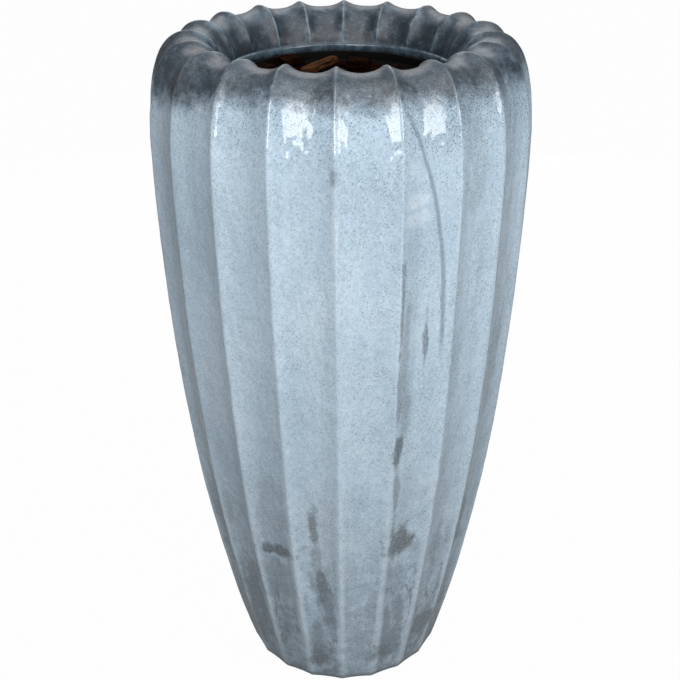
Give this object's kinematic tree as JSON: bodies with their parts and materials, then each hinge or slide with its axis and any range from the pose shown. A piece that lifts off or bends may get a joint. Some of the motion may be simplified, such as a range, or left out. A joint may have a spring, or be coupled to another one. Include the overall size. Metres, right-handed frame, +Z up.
{
  "type": "tall flower pot",
  "caption": "Tall tapered flower pot in speckled glazed stoneware, with a fluted wall, a rolled rim, and a lift-out grow pot topped with bark.",
  "frame": {"origin": "centre of the foot, at the level of the ground it stands on", "axes": "+Z up along the axis of the pot, -Y toward the side that the picture shows"},
  "size_m": [0.475, 0.475, 0.9],
  "materials": {
    "glazed_stoneware": "gloss",
    "grey_plastic": "satin",
    "black_plastic": "satin",
    "grey_rubber": "matte",
    "soil": "matte",
    "bark": "matte",
    "split_wood": "matte"
  },
  "bodies": {
    "pot": {"pot_shell": "glazed_stoneware", "riser_pot": "grey_plastic"},
    "inner_pot": {"grow_pot": "black_plastic", "potting_soil": "soil", "bark_stick": "split_wood", "bark_chip_01": "bark", "bark_chip_02": "bark", "bark_chip_03": "bark", "bark_chip_04": "bark", "bark_chip_05": "bark", "bark_chip_06": "bark", "bark_chip_07": "bark", "bark_chip_08": "bark", "bark_chip_09": "bark", "bark_chip_10": "bark", "bark_chip_11": "bark", "bark_chip_12": "bark", "bark_chip_13": "bark", "bark_chip_14": "bark", "bark_chip_15": "bark", "bark_chip_16": "bark", "bark_chip_17": "bark", "bark_chip_18": "bark", "bark_chip_19": "bark", "bark_chip_20": "bark", "bark_chip_21": "bark", "bark_chip_22": "bark", "bark_chip_23": "bark", "bark_chip_24": "bark"},
    "plug": {"drain_plug": "grey_rubber"}
  },
  "joints": [
    {"name": "grow_pot_lift", "type": "slide", "parent": "pot", "child": "inner_pot", "axis": [0, 0, 1], "range_m": [0, 0.5]},
    {"name": "drain_plug_pull", "type": "slide", "parent": "pot", "child": "plug", "axis": [0, 0, -1], "range_m": [0, 0.03]}
  ]
}
